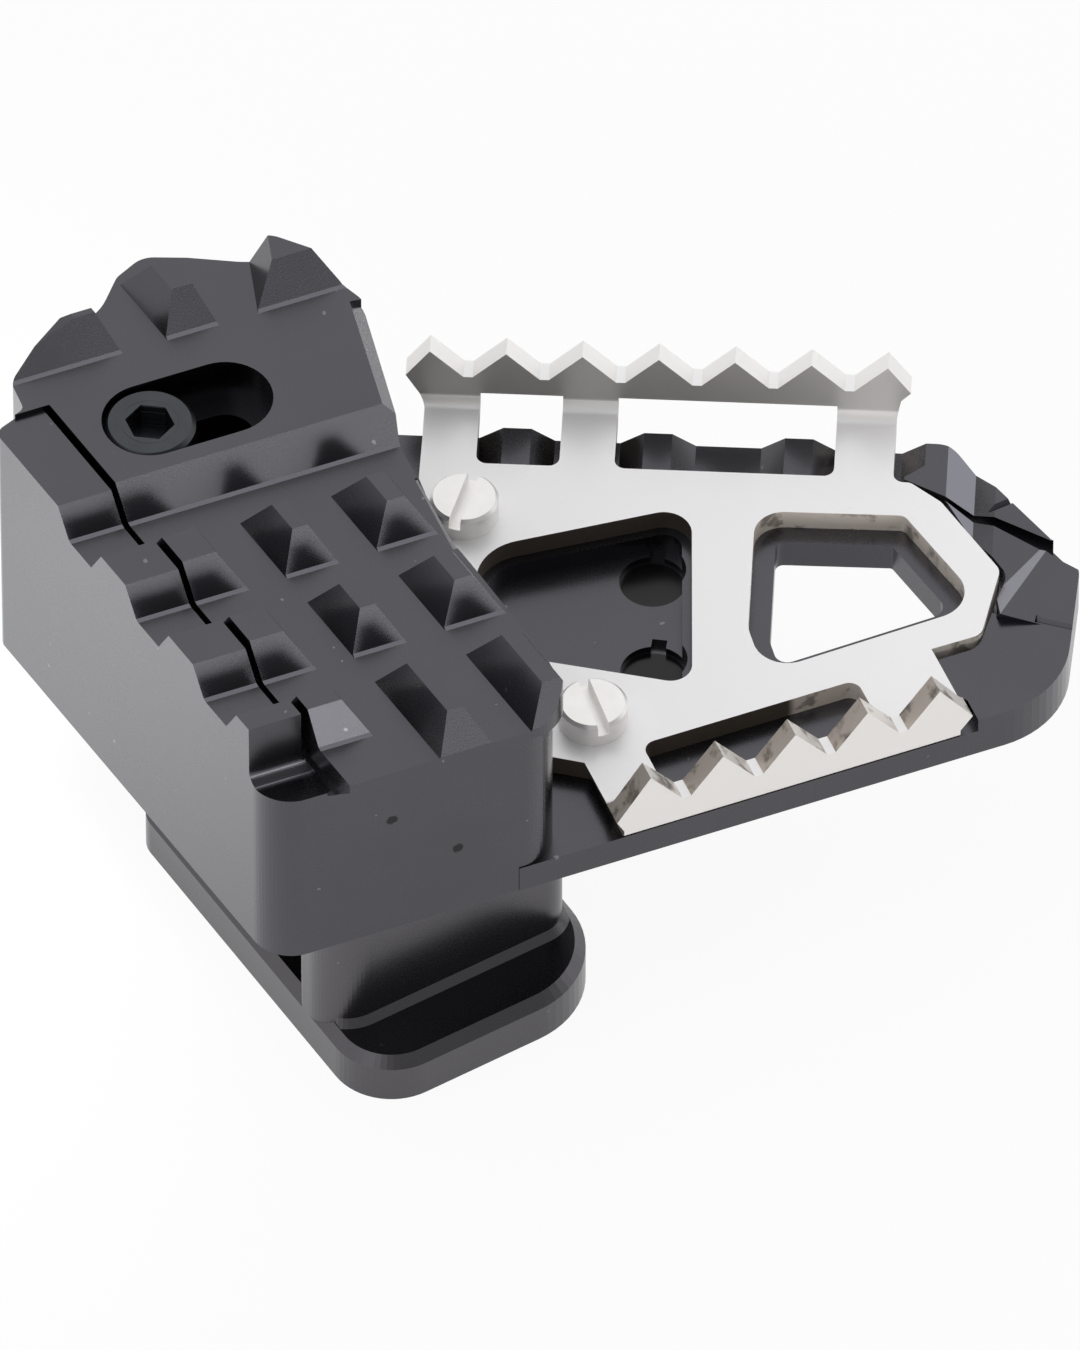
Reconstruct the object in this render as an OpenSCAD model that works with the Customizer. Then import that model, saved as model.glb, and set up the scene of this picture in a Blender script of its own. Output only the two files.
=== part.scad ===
// Brake pedal extension: a stepped grip block with an open side frame, cut from one billet,
// carrying a bent serrated tread plate. A lower jaw and one socket head bolt clamp it to a
// motorbike's brake pedal. Millimetres. X runs to the frame's free end, Y to the back, and
// Z = 0 is the underside of the lower jaw.

/* [Parts] */
// Names of the separate pieces
// Piece to draw

/* [Clamp] */
// Height of the gap that takes the pedal
pedal_gap = 12; // [8:0.5:16]
// Thickness of the lower jaw
jaw_t = 5; // [4:0.5:7]
// Length of the jaw's front plate across the pedal
jaw_l = 27.3; // [20:0.1:32]
// Chamfer round the jaw's top edge
jaw_chamfer = 1; // [0.3:0.1:1.5]
// Angle of the jaw and its heel against the block
jaw_turn = 10; // [0:1:15]
// Width of the heel that carries the jaw's front end
heel_w = 6.1; // [4:0.1:8]
// Flare at the heel's foot
heel_foot = 0.7; // [0.3:0.1:1.2]
// Thread diameter of the clamp bolt
bolt_d = 5; // [4:1:6]
// Length of the clamp bolt below its head
bolt_l = 40; // [35:5:45]
// Radial play of the bolt in its slot
bolt_play = 0.25; // [0.15:0.05:0.4]
// Way that the block can slide along the bolt
slot_travel = 7.4; // [4:0.1:9]

/* [Grip block] */
// Height of the lower floor above the block's underside
floor_h = 25; // [20:0.5:30]
// Height of a grip tooth, and of the step to the rear terrace
tooth_h = 3.6; // [2:0.1:5]
// Angle of the tooth columns and the left wall against Y
skew = 10.3; // [0:0.1:15]
// Pitch of the tooth rows
row_pitch = 11.4; // [9:0.1:13]
// Width of the slit beside the left wall
kerf_w = 0.6; // [0.4:0.1:1.5]
// Depth of the slit below the lower floor
kerf_depth = 3; // [1:0.5:8]
// Reach of the flared front lip beyond the front wall
lip_reach = 3.3; // [1:0.1:5]
// Width of the shallow toe in front of each ramp
toe_w = 0.4; // [0.2:0.05:0.6]
// Bevel along the block's right edge
side_bevel = 1.3; // [0.5:0.1:2]

/* [Frame] */
// Thickness of the frame under the plate
frame_t = 3; // [2:0.1:5]
// Height of the raised rim and the rear bumps above the frame's seat
rim_h = 1.5; // [0.5:0.1:2]
// Pitch of the rear bumps
bump_pitch = 13.05; // [10:0.05:15]
// Turn of the rear edge against X, clockwise from above
rear_turn = 24.9; // [10:0.1:35]
// Web left between the frame's window and the plate's right hole
window_web = 2; // [1:0.1:3]

/* [Serrated plate] */
// Sheet thickness
sheet_t = 2.1; // [1.5:0.1:3]
// Inner bend radius
bend_r = 1.2; // [0.5:0.1:2]
// Height of the rear teeth above the seat of the plate
rear_tooth_z = 8.7; // [6:0.1:11]
// Depth of the rear teeth
rear_tooth_d = 3.3; // [2:0.1:4]
// Pitch of the rear teeth
rear_pitch = 7.066; // [5:0.1:9]
// Height of the front teeth above the seat of the plate
front_tooth_z = 7.1; // [6:0.1:9]
// Depth of the front teeth
front_tooth_d = 4; // [2:0.1:4]
// Pitch of the front teeth
front_pitch = 7.15; // [5:0.05:9]

/* [Plate screws] */
// Thread diameter of the plate screws
screw_d = 4; // [3:0.5:5]
// Head diameter of the plate screws
screw_head_d = 6.4; // [5:0.1:8]
// Head height of the plate screws
screw_head_h = 2.5; // [1.5:0.1:3]
// Turn of the rear screw's slot, as it was left when tightened
slot_turn_rear = 51.5; // [0:0.5:180]
// Turn of the front screw's slot
slot_turn_front = 86; // [0:0.5:180]

/* [Hidden] */
$fn = 64;
body_black = [0.33, 0.33, 0.36];
jaw_black = [0.12, 0.12, 0.13];
steel = [0.89, 0.89, 0.9];
oxide = [0.3, 0.31, 0.33];
far = 100;                               // longer than any piece
lap = 1;                                 // overlap where shapes of one solid join
thread_play = 0.05;                      // radial, in a threaded hole
deck_z = jaw_t + pedal_gap;              // underside of block and frame
centre = [5.3, 10.15];                   // plan centre of the whole, moved to the origin
terrace_h = floor_h + tooth_h;
bolt_head_d = 1.7 * bolt_d;
bolt_seat_h = bolt_l - deck_z + 0.3;     // the bolt's end stays above the jaw's underside
bolt_at = [-28.3, 25.3];
front_y = -17.2;
kerf_c = -30.9;                          // offset of the slit along X, at y = 0
wall_c = -36.3;                          // the same of the left wall
kerf_end_y = 30.5;
recess_y = -13.3;                        // front face of the strip at the corner recess
recess_h = floor_h - 4;
screw_rear_at = [2.0, 23.6];
screw_front_at = [3.4, -4.6];
screw_l = frame_t + sheet_t - 0.2;
jaw_left = -30.2;
jaw_front = -19;
heel_front = -12.4;

// Plan point of the skewed wall with offset c at height y
function on_skew(c, y) = [c - tan(skew) * y, y];
// Plan point of the rear axes: u along the rear edge, w away from it
function rear(u, w) = [u * cos(rear_turn) + w * sin(rear_turn),
  w * cos(rear_turn) - u * sin(rear_turn)];
function flat(p) = [p[0], p[1]];
// Arc that rounds corner q between p and s with radius r
function fillet(p, q, s, r) = let (
  u = (p - q) / norm(p - q), v = (s - q) / norm(s - q), half = acos(u * v) / 2,
  c = q + (u + v) / norm(u + v) * (r / sin(half)),
  e = q + u * (r / tan(half)) - c, f = q + v * (r / tan(half)) - c,
  a = atan2(e[1], e[0]), turn = (atan2(f[1], f[0]) - a + 540) % 360 - 180,
  n = max(2, ceil(abs(turn) / 6)))
  [for (i = [0:n]) c + r * [cos(a + turn * i / n), sin(a + turn * i / n)]];
// Outline from corners [x, y, radius]
function rounded(pts) = [for (i = [0:len(pts) - 1]) let (
  n = len(pts), p = flat(pts[(i + n - 1) % n]), q = flat(pts[i]), s = flat(pts[(i + 1) % n]))
  each pts[i][2] > 0 ? fillet(p, q, s, pts[i][2]) : [q]];
// The same outline moved inward by d; convex outlines only
function inset(pts, d) = [for (i = [0:len(pts) - 1]) let (
  n = len(pts), p = flat(pts[(i + n - 1) % n]), q = flat(pts[i]), s = flat(pts[(i + 1) % n]),
  u = (p - q) / norm(p - q), v = (s - q) / norm(s - q),
  m = q + (u + v) / norm(u + v) * (d / sin(acos(u * v) / 2)))
  [m[0], m[1], max(pts[i][2] - d, 0.4)]];

block_plan = [
  [each on_skew(wall_c, front_y), 4], [-3.76, front_y, 4], [-6.9, 3.5, 10], [-7.1, 16.5, 10],
  [-4.6, 31.8, 3], [-5.6, 34.2, 3], [-10.5, 39.4, 3], [-13.4, 40.6, 4], [-17.7, 42.9, 2], [-21.5, 44.5, 2.5],
  [-24.6, 43, 2], [-27.3, 39.9, 6], [-38.4, 34.3, 1], [-38.5, 30.9, 0.8], [-41.85, 29.6, 1.2]];
lip_top = [[each on_skew(kerf_c, -10), 0], [each on_skew(kerf_c, front_y - lip_reach), 0],
  [-3.3, front_y - lip_reach, 4], [-6.5, -10, 0]];
lip_foot = [[each on_skew(kerf_c, -10), 0], [each on_skew(kerf_c, front_y + 0.3), 0],
  [-3.76, front_y + 0.3, 4], [-6.5, -10, 0]];
frame_plan = [
  [-9, front_y - 0.1, 0], [44.9, front_y - 0.1, 9.7], [52.4, -3.2, 3], [each rear(36.34, 33.9), 3],
  [each rear(-16, 33.9), 3], [-8, 36, 0]];
right_hole = [[27.06, 13.98, 2.8], [39.6, 8.3, 1], [42.1, -4.6, 3.4], [20.2, -5, 3.2],
  [20.9, 0.6, 4]];
centre_hole = [[-0.3, 19.4, 5], [21.9, 16.8, 2.6], [13.5, -3.9, 2], [-0.5, 5.6, 2]];
// Raised rim, with the line that follows the plate's right end first
rim_plan = [[36.4, front_y - 3, 0], [36.4, -14.6, 0.5], [34.2, -12.4, 1], [34.2, -9, 0.5],
  [39.8, -9, 2], [45.8, -1.6, 2], [44.1, 9, 1], [41.4, 13.2, 1], [each rear(32.2, 29.3), 0],
  [each rear(32.2, 29.6), 0], [52, 16, 0], [56, -4, 0], [50, -20, 0]];
plate_plan = [
  [1.3, front_y + lap, 0], [1.3, -9.6, 0.6], [-3, -6.5, 2], [-3, 21, 2], [-0.5, 25, 2],
  [-0.2, 29.4, 1], [each rear(-12.5, 32), 0], [each rear(31.2, 32), 0],
  [each rear(31.2, 28.4), 1], [41.7, 11.9, 1], [43.4, 8.6, 1], [45.2, -1.3, 1.5],
  [40.5, -8.1, 1.5], [33.2, -8, 0.8], [33.2, front_y + lap, 0]];
jaw_plan = [[jaw_left, jaw_front, 6], [jaw_left + jaw_l, jaw_front, 9],
  [jaw_left + jaw_l, 24, 4], [-27.5, 24, 4], [jaw_left, 20.5, 3]];
tongue_plan = [[-27.5, 18, 0], [-14, 18, 0], [-18, 28, 4], [-18.5, 36, 4.4], [-27.5, 36, 4.4]];
heel_plan = [[jaw_left, heel_front, 4], [-4, heel_front, 3], [-4, heel_front + heel_w, 3],
  [jaw_left, heel_front + heel_w, 1]];

// Trapezoid tooth section from foot a to foot d with its flat from b to c
function tooth(a, b, c, d, z, h) = [[a, z - lap], [a, z], [b, z + h], [c, z + h], [d, z],
  [d, z - lap]];
// The same with a shallow toe at its front foot, as a ball cutter leaves it
function toed(a, b, c, d, z, h) = [[a - toe_w, z - lap], [a - toe_w, z], [a, z + toe_w / 2.5],
  [b, z + h], [c, z + h], [d, z], [d, z - lap]];

module along_x(pts) {
  rotate([90, 0, 90]) linear_extrude(2 * far, center = true) polygon(pts);
}
module along_skew(pts) {
  rotate([0, 0, skew]) rotate([90, 0, 0]) linear_extrude(2 * far, center = true)
    polygon([for (p = pts) [p[0] * cos(skew), p[1]]]);
}
module plan(pts, z0, z1) {
  translate([0, 0, z0]) linear_extrude(z1 - z0) polygon(rounded(pts));
}
module rear_axes() { rotate([0, 0, -rear_turn]) children(); }

// Tooth rows on the lower floor, each a bar across the block
module lower_rows() {
  for (k = [0, 1]) translate([0, -k * row_pitch, 0])
    along_x(toed(5.7, 7.8, 11.3, 13.3, floor_h, tooth_h));
}
module lower_columns() {
  along_skew(tooth(-60, -60, -27.3, -25.5, floor_h, tooth_h));
  along_skew(tooth(-21.8, -19.8, -18.3, -16.65, floor_h, tooth_h));
  along_skew(tooth(-12.85, -10.5, -8.8, -6.9, floor_h, tooth_h));
}
module front_row() {
  back = 1.9 - row_pitch;
  intersection() {
    along_x(tooth(-20.6, -18.3, back - 2, back, floor_h, tooth_h));
    union() {
      along_skew(tooth(-21.8, -19.8, -18.3, -16.65, floor_h, tooth_h));
      along_skew(tooth(-12.85, -10.5, -8.8, -6.9, floor_h, tooth_h));
    }
  }
  intersection() {
    along_x(toed(-15.2, -13.4, back - 2, back, floor_h, tooth_h));
    along_skew(tooth(-60, -60, -27.3, -25.5, floor_h, tooth_h));
  }
}
module upper_teeth() {
  intersection() {
    along_x(toed(34.3, 36.6, 40.1, 42, terrace_h, tooth_h));
    along_skew(tooth(-17, -15, -13, -11.9, terrace_h, tooth_h));
  }
  // the left tooth falls away to the corner
  intersection() {
    along_x(toed(34.3, 36.6, 37.2, 39, terrace_h, tooth_h));
    along_skew([[-32.6, terrace_h - lap], [-32.6, terrace_h], [-29.6, terrace_h + 0.6 * tooth_h],
      [-24.6, terrace_h + tooth_h], [-22.6, terrace_h + tooth_h], [-21.4, terrace_h],
      [-21.4, terrace_h - lap]]);
  }
  // the right tooth runs out over the block's side
  intersection() {
    along_x(toed(34.3, 36.6, 40.1, 42, terrace_h, tooth_h));
    translate([-14.1, 34.4, 0]) rotate([0, 0, -14.7]) rotate([90, 0, 0])
      linear_extrude(2 * far, center = true) polygon(tooth(0, 1.7, 40, 40, terrace_h, tooth_h));
  }
}
// Cut along the line from p to q that bevels the edge at height z; it falls away to the right
module edge_bevel(p, q, z, w, h) {
  translate([p[0], p[1], z]) rotate([0, 0, atan2(q[1] - p[1], q[0] - p[0]) - 90])
    rotate([90, 0, 180]) linear_extrude(norm(q - p))
      polygon([[0.001, 1], [0.001, 0], [-w, -h], [-w - 6, -h - 6 * h / w], [-w - 6, 1]]);
}
module grip_block() {
  difference() {
    union() {
      plan(block_plan, 0, floor_h);
      hull() {
        plan(lip_foot, floor_h - lip_reach - 1.4, floor_h - lip_reach - 1.3);
        plan(lip_top, floor_h - 1, floor_h);
      }
      intersection() {
        union() {
          plan(block_plan, floor_h - lap, far);
          plan(lip_top, floor_h - lap, far);
        }
        union() {
          intersection() { lower_rows(); lower_columns(); }
          front_row();
          along_x([[17.1 - toe_w, floor_h - lap], [17.1 - toe_w, floor_h],
            [17.1, floor_h + toe_w / 2.5], [19.2, terrace_h], [far, terrace_h],
            [far, floor_h - lap]]);
          upper_teeth();
        }
      }
    }
    // corner recess in front of the left strip, with a round foot
    intersection() {
      along_x(concat([[recess_y, far]], fillet([recess_y, far], [recess_y, recess_h],
        [-far, recess_h], 1.5), [[-far, recess_h], [-far, far]]));
      linear_extrude(far) polygon([on_skew(kerf_c, far), on_skew(kerf_c, -far),
        [-far, -far], [-far, far]]);
    }
    // the strip's tops stand a little lower
    intersection() {
      translate([-far, -far, terrace_h - 0.5]) cube([2 * far, far + kerf_end_y, tooth_h]);
      linear_extrude(far) polygon([on_skew(kerf_c, far), on_skew(kerf_c, -far),
        [-far, -far], [-far, far]]);
    }
    // slit beside the strip
    translate([0, 0, floor_h - kerf_depth]) linear_extrude(far) polygon([
      on_skew(kerf_c - kerf_w / 2, kerf_end_y), on_skew(kerf_c - kerf_w / 2, -far),
      on_skew(kerf_c + kerf_w / 2, -far), on_skew(kerf_c + kerf_w / 2, kerf_end_y)]);
    // bevels along the right edge, of the terrace and of the lower floor
    edge_bevel([-7.9, 18.6], [-5.85, 32.2], terrace_h, side_bevel, side_bevel);
    edge_bevel([-4.1, -12.4], [-7.15, 4.2], floor_h, 0.5, 0.5);
    edge_bevel([-7.35, 3], [-7.35, 12.5], floor_h, 0.5, 0.5);
    slot_cut(bolt_head_d / 2 + 0.2, bolt_seat_h, far);
    slot_cut(bolt_d / 2 + bolt_play, -lap, far);
  }
}
// Round-ended slot along X for the clamp bolt
module slot_cut(r, z0, z1) {
  translate([bolt_at[0], bolt_at[1], z0]) cylinder(r = r, h = z1 - z0);
  translate([bolt_at[0] + slot_travel, bolt_at[1], z0]) cylinder(r = r, h = z1 - z0);
  translate([bolt_at[0], bolt_at[1] - r, z0]) cube([slot_travel, 2 * r, z1 - z0]);
}
// Wedge with its edge on the line from p to q at height z, opening upward to both sides
module groove(p, q, z, left, right, h) {
  a = atan2(q[1] - p[1], q[0] - p[0]);
  translate([p[0], p[1], z]) rotate([0, 0, a]) rotate([90, 0, 90])
    linear_extrude(norm(q - p)) polygon([[0, 0], [left, h], [-right, h]]);
}
module side_frame() {
  top = frame_t + rim_h;
  difference() {
    union() {
      plan(frame_plan, 0, frame_t);
      intersection() {
        plan(frame_plan, 0, top);
        plan(rim_plan, frame_t - lap, top);
      }
      // low ridge from the plate's corner to the outer edge
      intersection() {
        plan(frame_plan, 0, far);
        plan(rim_plan, frame_t - lap, far);
        polyhedron([[45, 0.4, top - lap], [51.5, 1.6, top - lap], [50, -10.6, top - lap],
          [42.6, -5.6, top - lap], [52, 1.2, top + 0.1], [43, -6.6, top + 0.9]],
          [[0, 1, 4], [0, 4, 5], [0, 5, 3], [1, 2, 4], [2, 5, 4], [2, 3, 5], [0, 3, 2, 1]]);
      }
      intersection() {
        plan(frame_plan, 0, top);
        rear_axes() for (k = [0:3]) translate([-3.8 + bump_pitch * k, 37, 0])
          rotate([90, 0, 0]) linear_extrude(7.8) polygon([[-3.5, frame_t - lap],
            [-3.5, frame_t], [-1.3, top], [1.3, top], [3.5, frame_t], [3.5, frame_t - lap]]);
      }
    }
    plan(inset(right_hole, window_web), -lap, far);
    plan(inset(centre_hole, 0.9), 1.2, far);
    // keyed blind recesses in the pocket floor
    for (p = [[16.3, 12.6], [12.2, 2.2]]) translate([p[0], p[1], 0.4]) {
      cylinder(d = 6.2, h = frame_t);
      rotate([0, 0, 60]) translate([2, -0.7, 0]) cube([2, 1.4, frame_t]);
    }
    // radial grooves of the raised rim
    groove([43.4, 6.1], [51, 7], top - 0.35, 0.5, 0.5, 0.5);
    groove([42.9, -5.2], [50.4, -11.1], top - 0.35, 0.5, 0.5, 0.5);
    rear_axes() translate([39.2, 20, top]) rotate([-90, 0, 0])
      linear_extrude(30) polygon([[-3.6, -0.2], [-0.4, 1], [1.9, -0.2]]);
    for (p = [screw_rear_at, screw_front_at]) translate([p[0], p[1], -lap])
      cylinder(r = screw_d / 2 + thread_play, h = far);
  }
}
module main_body() {
  color(body_black) translate([0, 0, deck_z]) {
    grip_block();
    side_frame();
  }
}

module lower_jaw() {
  color(jaw_black) difference() {
    rotate([0, 0, jaw_turn]) {
      hull() {
        plan(jaw_plan, 0, jaw_t - jaw_chamfer);
        plan(inset(jaw_plan, jaw_chamfer), 0, jaw_t);
      }
      plan(tongue_plan, 0, jaw_t);
      plan(heel_plan, jaw_t - lap, deck_z);
      // flared foot of the heel
      intersection() {
        hull() {
          plan(inset(heel_plan, -heel_foot), jaw_t - 0.2, jaw_t);
          plan(inset(heel_plan, 0.02), jaw_t, jaw_t + heel_foot);
        }
        plan(inset(jaw_plan, jaw_chamfer + 0.05), jaw_t - lap, far);
      }
    }
    translate([bolt_at[0], bolt_at[1], -lap])
      cylinder(r = bolt_d / 2 + thread_play, h = jaw_t + 2 * lap);
  }
}

module clamp_bolt() {
  head_h = bolt_d;
  color(oxide) translate([bolt_at[0], bolt_at[1], deck_z + bolt_seat_h]) difference() {
    rotate_extrude() polygon([[0, -bolt_l], [bolt_d / 2 - 0.6, -bolt_l],
      [bolt_d / 2, 0.6 - bolt_l], [bolt_d / 2, 0], [bolt_head_d / 2, 0],
      [bolt_head_d / 2, head_h - 0.4], [bolt_head_d / 2 - 0.4, head_h], [0, head_h]]);
    translate([0, 0, head_h / 2]) rotate([0, 0, 30])
      cylinder(d = 0.8 * bolt_d / cos(30), h = head_h, $fn = 6);
  }
}

// Teeth of a flange: n peaks from x0 on, with valleys d below them
function teeth(x0, pitch, n, peak, d) = [for (k = [0:n - 1]) each
  k < n - 1 ? [[x0 + pitch * k, peak], [x0 + pitch * (k + 0.44), peak - d],
    [x0 + pitch * (k + 0.56), peak - d]] : [[x0 + pitch * k, peak]]];
// Section of an upturned edge: sheet from x = -10, bent up at its outer face x = 0
function bent_edge(h, r) = concat([[-10, 0]], fillet([-10, 0], [0, 0], [0, h], r),
  [[0, h], [-sheet_t, h]], fillet([-sheet_t, h], [-sheet_t, sheet_t], [-10, sheet_t], bend_r),
  [[-10, sheet_t]]);

module rear_flange() {
  peak = rear_tooth_z;
  valley = peak - rear_tooth_d;
  u0 = -12.05;
  n = 7;
  last = u0 + rear_pitch * (n - 1);
  rear_axes() difference() {
    intersection() {
      translate([0, 38.6, 0]) rotate([90, 0, 90]) linear_extrude(2 * far, center = true)
        polygon(bent_edge(far, bend_r + sheet_t));
      translate([0, far, 0]) rotate([90, 0, 0]) linear_extrude(2 * far) polygon(concat(
        [[-12.5, 0], [-12.5, sheet_t], [-13.3, 3.5], [-14.3, valley]],
        teeth(u0, rear_pitch, n, peak, rear_tooth_d),
        [[last + 2.15, valley], [last + 1.25, 4.3], [31.2, sheet_t], [31.2, 0]]));
    }
    // windows between the three tabs, open up to the foot of the flange
    for (w = [[-7.4, 0.3], [5.4, 25.7]]) translate([0, 0, -lap]) linear_extrude(3.3 + lap)
      polygon(rounded([[w[0], 28.8, 1], [w[1], 28.8, 1], [w[1], 45, 0], [w[0], 45, 0]]));
  }
}
module front_flange() {
  peak = front_tooth_z;
  valley = peak - front_tooth_d;
  x0 = 3.9;
  n = 5;
  last = x0 + front_pitch * (n - 1);
  intersection() {
    translate([0, front_y - 0.2, 0]) rotate([90, 0, -90]) linear_extrude(2 * far, center = true)
      polygon(bent_edge(far, 0.5));
    translate([0, far, 0]) rotate([90, 0, 0]) linear_extrude(2 * far) polygon(concat(
      [[1.3, 0], [1.3, 0.9], [0.6, 2.3]], teeth(x0, front_pitch, n, peak, front_tooth_d),
      [[last + 3.3, 2.4], [34.6, 0.9], [34.6, 0]]));
  }
}
module serrated_plate() {
  color(steel) translate([0, 0, deck_z + frame_t]) difference() {
    union() {
      difference() {
        plan(plate_plan, 0, sheet_t);
        rear_axes() for (w = [[-7.4, 0.3], [5.4, 25.7]]) translate([0, 0, -lap])
          linear_extrude(far) polygon(rounded([[w[0], 28.8, 1], [w[1], 28.8, 1],
            [w[1], 45, 0], [w[0], 45, 0]]));
      }
      rear_flange();
      front_flange();
    }
    plan(right_hole, -lap, far);
    plan(centre_hole, -lap, far);
    plan([[6.4, -9, 1.2], [27.7, -9, 1.2], [27.7, front_y + sheet_t + 0.1, 0.6],
      [6.4, front_y + sheet_t + 0.1, 0.6]], -lap, 5);
    for (p = [screw_rear_at, screw_front_at]) translate([p[0], p[1], -lap])
      cylinder(r = screw_d / 2 + 0.2, h = far);
  }
}

module plate_screw(at, slot_turn) {
  color(steel) translate([at[0], at[1], deck_z + frame_t + sheet_t]) difference() {
    rotate_extrude() polygon([[0, -screw_l], [screw_d / 2 - 0.4, -screw_l],
      [screw_d / 2, 0.4 - screw_l], [screw_d / 2, 0], [screw_head_d / 2, 0],
      [screw_head_d / 2, screw_head_h - 0.3], [screw_head_d / 2 - 0.3, screw_head_h],
      [0, screw_head_h]]);
    rotate([0, 0, slot_turn]) translate([-far / 2, -0.55, screw_head_h - 1.2])
      cube([far, 1.1, 2]);
  }
}
module plate_screw_rear() { plate_screw(screw_rear_at, slot_turn_rear); }
module plate_screw_front() { plate_screw(screw_front_at, slot_turn_front); }

translate([-centre[0], -centre[1], 0]) {
  main_body();
  lower_jaw();
  clamp_bolt();
  serrated_plate();
  plate_screw_rear();
  plate_screw_front();
}
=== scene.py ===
# Brake pedal extension: materials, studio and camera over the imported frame.
import math
import bpy
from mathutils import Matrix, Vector

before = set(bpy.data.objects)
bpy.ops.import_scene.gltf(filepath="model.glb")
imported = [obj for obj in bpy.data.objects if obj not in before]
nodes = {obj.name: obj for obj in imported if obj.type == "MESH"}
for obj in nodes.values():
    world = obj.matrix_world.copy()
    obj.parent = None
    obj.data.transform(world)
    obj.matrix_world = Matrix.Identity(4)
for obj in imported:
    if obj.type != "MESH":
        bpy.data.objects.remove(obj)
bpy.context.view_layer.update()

# Shader maths: a socket that adds Math nodes to its own tree


class Value:
    def __init__(self, graph, socket):
        self.graph, self.socket = graph, socket

    def math(self, operation, *others):
        return self.graph.node("ShaderNodeMath", {"operation": operation}, {
            0: self, **{i + 1: o for i, o in enumerate(others)}})

    def __add__(self, other):
        return self.math("ADD", other)

    __radd__ = __add__

    def __mul__(self, other):
        return self.math("MULTIPLY", other)

    __rmul__ = __mul__

    def __sub__(self, other):
        return self.math("SUBTRACT", other)

    def __rsub__(self, other):
        return (self * -1) + other

    def __pow__(self, other):
        return self.math("POWER", other)

    def between(self, low, high):
        """0 below low, 1 above high and smooth between."""
        return self.graph.node("ShaderNodeMapRange", {"interpolation_type": "SMOOTHSTEP"}, {
            "Value": self, "From Min": low, "From Max": high})

    def band(self, low, high, soft):
        return self.between(low - soft, low + soft) * (1 - self.between(high - soft, high + soft))


class Graph:
    """Nodes of one material, with Principled BSDF as its shader."""

    def __init__(self, name, **constants):
        self.material = bpy.data.materials.new(name)
        self.material.use_nodes = True
        self.tree = self.material.node_tree
        self.shader = self.tree.nodes["Principled BSDF"]
        for key, value in constants.items():
            self.shader.inputs[key.replace("_", " ")].default_value = value
        self.place = self.node("ShaderNodeTexCoord", out="Object")
        self.split = self.node("ShaderNodeSeparateXYZ", {}, {0: self.place}, out=None)
        self.x, self.y, self.z = (Value(self, self.split.outputs[i]) for i in range(3))
        facing = self.node("ShaderNodeNewGeometry", out="Normal")
        self.facing = self.node("ShaderNodeSeparateXYZ", {}, {0: facing}, out=None)

    def node(self, kind, settings=None, sockets=None, out=0):
        made = self.tree.nodes.new(kind)
        for key, value in (settings or {}).items():
            setattr(made, key, value)
        for key, value in (sockets or {}).items():
            if isinstance(value, Value):
                self.tree.links.new(value.socket, made.inputs[key])
            else:
                made.inputs[key].default_value = value
        return made if out is None else Value(self, made.outputs[out])

    def noise(self, scale, detail=3.0, rough=0.5, stretch=None, turn=0.0):
        place = self.place
        if stretch or turn:
            place = self.node("ShaderNodeMapping", {}, {
                "Vector": place, "Rotation": (0, 0, turn), "Scale": stretch or (1, 1, 1)})
        return self.node("ShaderNodeTexNoise", {}, {
            "Vector": place, "Scale": scale, "Detail": detail, "Roughness": rough})

    def mix(self, amount, a, b):
        made = self.node("ShaderNodeMix", {"data_type": "RGBA"}, out=None)
        for index, value in ((0, amount), (6, a), (7, b)):
            if isinstance(value, Value):
                self.tree.links.new(value.socket, made.inputs[index])
            elif index:
                made.inputs[index].default_value = (*value[:3], 1)
            else:
                made.inputs[0].default_value = value
        return Value(self, made.outputs[2])

    def bump(self, height, distance, strength):
        return self.node("ShaderNodeBump", {}, {
            "Height": height, "Distance": distance, "Strength": strength})

    def feed(self, **links):
        for key, value in links.items():
            self.tree.links.new(value.socket, self.shader.inputs[key.replace("_", " ")])
        return self.material


def grey(level, warm=0.0, green=0.0):
    """sRGB grey level 0 to 255 as a linear colour; warm above 0 is browner, below is bluer."""
    base = [level * (1 + warm) / 255, level * (1 + green) / 255, level * (1 - warm) / 255]
    return [c / 12.92 if c <= 0.04045 else ((c + 0.055) / 1.055) ** 2.4 for c in base]


def dress(material, *names):
    for name in names:
        slots = nodes[name].data.materials
        slots.clear()
        slots.append(material)


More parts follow.
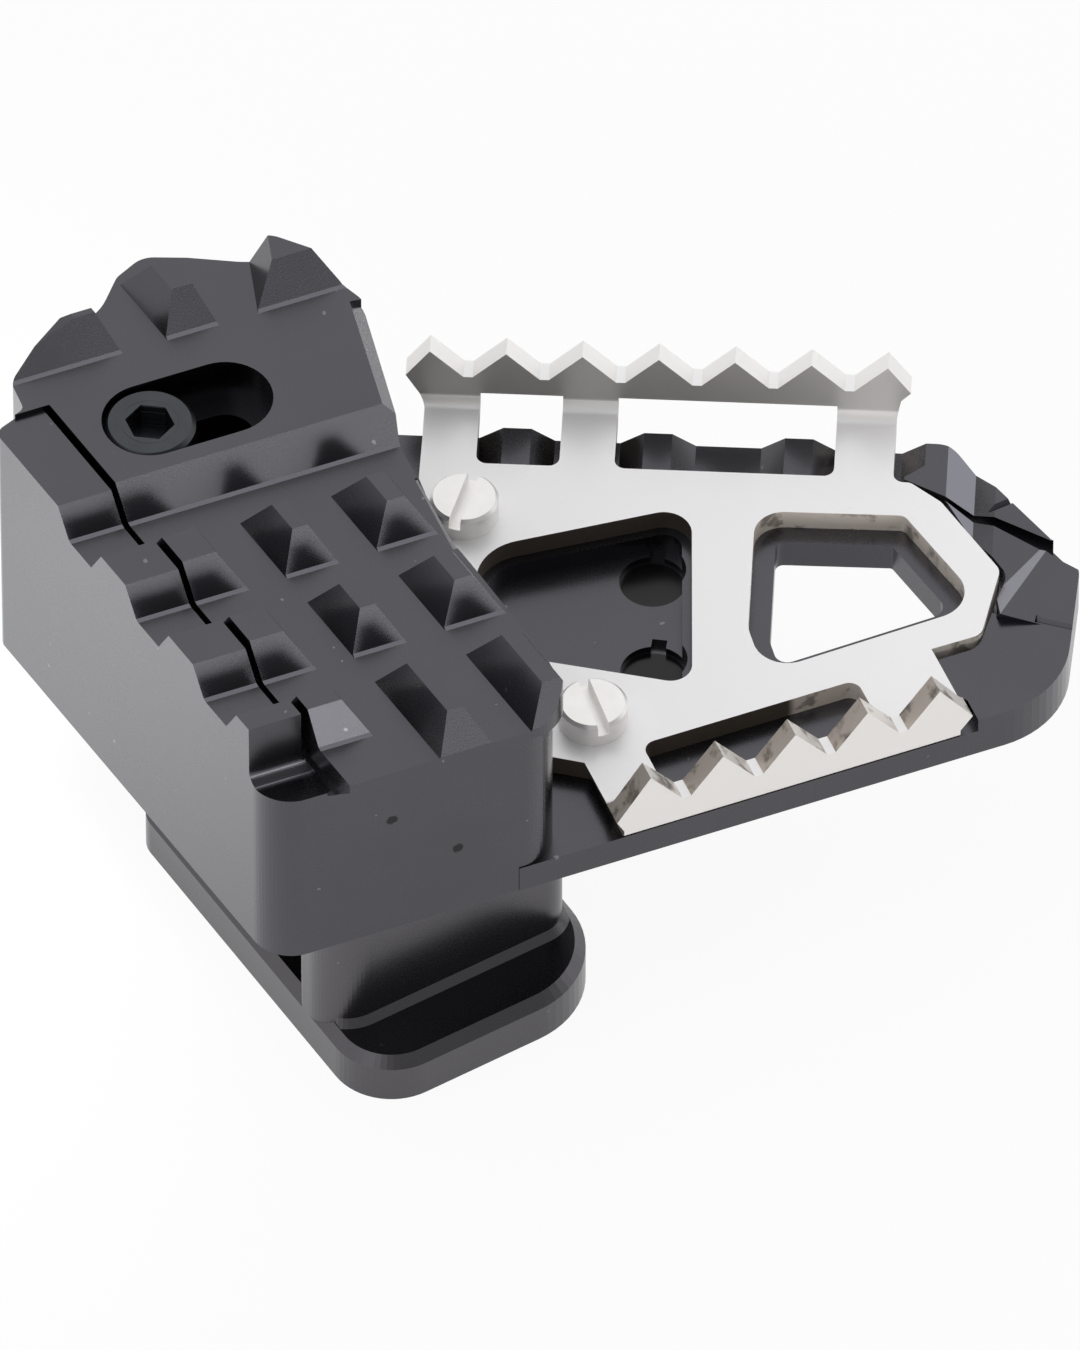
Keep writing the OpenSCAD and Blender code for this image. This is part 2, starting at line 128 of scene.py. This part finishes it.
def anodised(name, level, warm, shaded_pits=(), nicks=()):
    """Satin black anodised aluminium with a painted highlight along the feet of the teeth; the
    listed recess floors are painted near black as shade, nicks are small dark chips.
    """
    g = Graph(name, Metallic=1.0, Coat_Weight=0.4, Coat_Roughness=0.2, Coat_IOR=1.6)
    cloud = g.noise(90, 3, 0.55)
    grain = g.noise(5200, 2, 0.6)
    specks = g.noise(900, 1, 0.4).between(0.79, 0.8)
    colour = g.mix(cloud, grey(level - 4, warm, -0.035), grey(level + 4, warm, -0.035))
    colour = g.mix(specks * 0.4, colour, grey(150, warm))
    # painted highlight: facets tilted 18 to 25 degrees from flat, meant for the feet of the
    # teeth, get a lighter line
    toe_highlight = Value(g, g.facing.outputs[2]).band(0.905, 0.95, 0.008)
    colour = g.mix(toe_highlight, colour, grey(132, warm, -0.035))
    # painted shade: each listed recess floor goes near black
    for x, y, low, high, reach in shaded_pits:
        away = ((g.x - x) ** 2 + (g.y - y) ** 2) ** 0.5
        pit_shade = (1 - away.between(reach * 0.93, reach)) * g.z.band(low, high, 0.00005)
        colour = g.mix(pit_shade, colour, grey(22))
    for x, y, z, reach in nicks:
        away = ((g.x - x) ** 2 + (g.y - y) ** 2 + (g.z - z) ** 2) ** 0.5
        away = away + (grain - 0.5) * 0.0006
        colour = g.mix(1 - away.between(reach * 0.8, reach), colour, grey(14))
    rough = 0.27 + (cloud - 0.5) * 0.12 + (grain - 0.5) * 0.08
    return g.feed(Base_Color=colour, Roughness=rough,
                  Normal=g.bump(grain, 0.00001, 0.4))


def tread_steel():
    """Pale blasted sheet with fine scratches; cut walls, heat stains and soot by place, and
    painted shade on the upright faces of the toothed edges.
    """
    g = Graph("tread_steel", Metallic=0.35)
    nx, ny, up = (Value(g, g.facing.outputs[i]) for i in range(3))
    top = up.between(0.8, 0.95)
    cloud = g.noise(70, 3, 0.5)
    scratch = g.noise(240, 4, 0.7, (1, 26, 1), 0.6)
    fine = g.noise(520, 3, 0.7, (22, 1, 1), -0.35)
    marks = (scratch.between(0.66, 0.72) + fine.between(0.68, 0.74)) * 0.5
    pale = g.mix(cloud, grey(248, 0.0, -0.004), grey(254, 0.0, -0.004))
    pale = g.mix(marks * 0.5, pale, grey(196, 0.0))
    # how far back a point lies, square to the turned rear edge
    across = g.x * math.sin(REAR_TURN) + g.y * math.cos(REAR_TURN)
    soot = g.noise(420, 3, 0.6).between(0.5, 0.66)
    bronze = g.mix(cloud, grey(70, 0.12), grey(92, 0.1))
    tan = g.mix(cloud, grey(228, 0.06), grey(248, 0.02))
    tan = g.mix(soot * 0.7, tan, grey(96, 0.1))
    wall = g.mix(g.x.between(HOLES_SPLIT - 0.0005, HOLES_SPLIT + 0.0005), bronze, tan)
    # rear toothed edge: painted shade on the grey upright front face, darker to the left;
    # near-white notches
    rear = across.between(REAR_FACE - 0.0012, REAR_FACE - 0.0008)
    rear_wall_shaded = g.mix(up.between(0.2, 0.35), g.mix(g.x.between(0.02, 0.045),
                      grey(176, 0.012), grey(220, 0.012)), grey(250, 0.008))
    wall = g.mix(rear, wall, rear_wall_shaded)
    # front toothed edge: warm white face; notch walls with bronze soot and painted shade, darker
    # on walls facing left
    front = 1 - g.y.between(FRONT_FACE + 0.0024, FRONT_FACE + 0.0028)
    notch_soot_and_shade = g.mix(soot * 0.8, g.mix(nx.between(-0.2, 0.2), grey(190, 0.05), grey(232, 0.02)),
                  grey(96, 0.1))
    front_wall_shaded = g.mix((ny * -1).between(0.6, 0.8), notch_soot_and_shade, grey(238, 0.014))
    wall = g.mix(front, wall, front_wall_shaded)
    colour = g.mix(top, wall, pale)
    grain = g.noise(4200, 2, 0.6)
    rough = 0.38 + (grain - 0.5) * 0.12
    return g.feed(Base_Color=colour, Roughness=rough,
                  Normal=g.bump(grain + marks * -0.6, 0.000012, 0.6))


def screw_steel():
    """Bright turned steel."""
    g = Graph("screw_steel", Metallic=0.7, Roughness=0.32)
    cloud = g.noise(600, 3, 0.6)
    colour = g.mix(cloud, grey(236, 0.01), grey(250, 0.006))
    return g.feed(Base_Color=colour, Normal=g.bump(cloud, 0.00002, 0.3))


def oxide_steel():
    """Black oxide, with the thread as rings on the shank."""
    g = Graph("oxide_steel", Metallic=1.0, Roughness=0.34, Coat_Weight=0.2, Coat_Roughness=0.2)
    cloud = g.noise(500, 3, 0.6)
    colour = g.mix(cloud, grey(62, -0.04), grey(76, -0.04))
    away = ((g.x - BOLT[0]) ** 2 + (g.y - BOLT[1]) ** 2) ** 0.5
    shank = 1 - away.between(0.0026, 0.0027)
    turns = (g.z * (2 * math.pi / 0.0008)).math("SINE")
    height = cloud * 0.1 + turns * shank * 0.5
    return g.feed(Base_Color=colour, Normal=g.bump(height, 0.00015, 0.8))


# Places that the finishes follow, from the source's sizes, in metres
CENTRE = (0.0053, 0.01015)
BOLT = (-0.0283 - CENTRE[0], 0.0253 - CENTRE[1])
FRONT_FACE = -0.0174 - CENTRE[1]
REAR_TURN = math.radians(24.9)
REAR_FACE = 0.0365 - CENTRE[0] * math.sin(REAR_TURN) - CENTRE[1] * math.cos(REAR_TURN)
HOLES_SPLIT = 0.016
FRONT_WALL = -0.0172 - CENTRE[1]
# x, y, lowest, highest and radius of each recess floor painted near black as shade
POCKET_PIT_SHADE = [(0.0163 - CENTRE[0], 0.0126 - CENTRE[1], 0.0170, 0.0181, 0.0031),
               (0.0122 - CENTRE[0], 0.0022 - CENTRE[1], 0.0170, 0.0181, 0.0031)]
# x, y, z and radius of each chip
FRONT_NICKS = [(-0.02679, FRONT_WALL, 0.03175, 0.0006), (-0.02032, FRONT_WALL, 0.02524, 0.0006)]

dress(anodised("body_anodised", 78, -0.03, POCKET_PIT_SHADE, FRONT_NICKS), "main_body")
# painted light: the jaw's copy of the anodised finish is set lighter than the body's to stand in
# for the brighter light on the low jaw
dress(anodised("jaw_anodised", 88, -0.01), "lower_jaw")
dress(tread_steel(), "serrated_plate")
dress(screw_steel(), "plate_screw_rear", "plate_screw_front")
dress(oxide_steel(), "clamp_bolt")

# Studio: white floor, pale surroundings and two soft lamps over the floor


def studio_floor():
    """Lit white table that keeps a soft shadow."""
    made = bpy.data.meshes.new("studio_floor")
    reach, level = 3.0, -0.00005
    made.from_pydata([(-reach, -reach, level), (reach, -reach, level), (reach, reach, level),
                      (-reach, reach, level)], [], [(0, 1, 2, 3)])
    floor = bpy.data.objects.new("studio_floor", made)
    bpy.context.scene.collection.objects.link(floor)
    paint = bpy.data.materials.new("studio_white")
    paint.use_nodes = True
    tree = paint.node_tree
    matt = tree.nodes["Principled BSDF"]
    matt.inputs["Base Color"].default_value = (0.9, 0.9, 0.9, 1)
    matt.inputs["Roughness"].default_value = 1.0
    matt.inputs["Specular IOR Level"].default_value = 0.0
    white = tree.nodes.new("ShaderNodeEmission")
    path = tree.nodes.new("ShaderNodeLightPath")
    share = tree.nodes.new("ShaderNodeMath")
    share.operation = "MULTIPLY_ADD"
    share.inputs[1].default_value = 0.38
    share.inputs[2].default_value = 0.55
    mixed = tree.nodes.new("ShaderNodeMixShader")
    tree.links.new(path.outputs["Is Camera Ray"], share.inputs[0])
    tree.links.new(share.outputs[0], mixed.inputs[0])
    tree.links.new(matt.outputs[0], mixed.inputs[1])
    tree.links.new(white.outputs[0], mixed.inputs[2])
    tree.links.new(mixed.outputs[0], tree.nodes["Material Output"].inputs["Surface"])
    made.materials.append(paint)


def surroundings():
    """Pale room, dark above the front, bright low in front, dimmer at the back left."""
    world = bpy.data.worlds.new("studio")
    bpy.context.scene.world = world
    world.use_nodes = True
    tree = world.node_tree

    def add(kind, settings, sockets, out=0):
        made = tree.nodes.new(kind)
        for key, value in settings.items():
            setattr(made, key, value)
        for key, value in sockets.items():
            if isinstance(value, bpy.types.NodeSocket):
                tree.links.new(value, made.inputs[key])
            else:
                made.inputs[key].default_value = value
        return made.outputs[out]

    def toward(way, low, high):
        """0 to 1 as the direction comes near to way."""
        near = add("ShaderNodeVectorMath", {"operation": "DOT_PRODUCT"}, {
            0: direction, 1: Vector(way).normalized()}, "Value")
        return add("ShaderNodeMapRange", {"interpolation_type": "SMOOTHSTEP"}, {
            "Value": near, "From Min": low, "From Max": high})

    def blend(amount, a, b):
        return add("ShaderNodeMapRange", {}, {"Value": amount, "To Min": a, "To Max": b})

    direction = add("ShaderNodeTexCoord", {}, {}, "Generated")
    level = blend(toward((0.25, -0.66, 0.7), 0.57, 0.9), 1.06, 0.34)
    level = blend(toward((0.25, -0.97, -0.08), 0.93, 0.988), level, 4.2)
    level = blend(toward((-0.75, 0.5, 0.35), 0.5, 0.85), level, 0.85)
    path = add("ShaderNodeLightPath", {}, {}, "Is Camera Ray")
    level = blend(path, level, 1.0)
    tree.links.new(level, tree.nodes["Background"].inputs["Strength"])
    tree.nodes["Background"].inputs["Color"].default_value = (1, 1, 1, 1)


def lamp(name, place, aim, size, watts, spread):
    data = bpy.data.lights.new(name, "AREA")
    data.size = size
    data.energy = watts
    data.spread = math.radians(spread)
    made = bpy.data.objects.new(name, data)
    made.location = place
    made.visible_camera = made.visible_glossy = False
    made.rotation_euler = (Vector(aim) - Vector(place)).to_track_quat("-Z", "Y").to_euler()
    bpy.context.scene.collection.objects.link(made)


def photo_camera():
    """Long lens from the front left; the target is the image's centre."""
    elevation, azimuth, away = math.radians(47.7), math.radians(22.0), 3.0
    px_per_m, long_side = 10900.0, 1350
    target = Vector((-0.0053, -0.01015, 0.025))
    back = Vector((-math.sin(azimuth) * math.cos(elevation),
                   -math.cos(azimuth) * math.cos(elevation), math.sin(elevation)))
    data = bpy.data.cameras.new("photo_camera")
    data.sensor_fit = "AUTO"
    data.sensor_width = 36.0
    data.lens = px_per_m * away / long_side * data.sensor_width
    data.clip_start, data.clip_end = 0.1, 20.0
    made = bpy.data.objects.new("photo_camera", data)
    made.location = target + back * away
    made.rotation_euler = back.to_track_quat("Z", "Y").to_euler()
    bpy.context.scene.collection.objects.link(made)
    bpy.context.scene.camera = made


studio_floor()
surroundings()
lamp("softbox_left", (-0.085, 0.03, 0.12), (-0.085, 0.03, 0), 0.06, 0.045, 70)
lamp("softbox_right", (0.3, 0.26, 0.16), (0.29, 0.25, 0), 0.2, 0.55, 80)
photo_camera()
bpy.context.scene.view_settings.view_transform = "Standard"
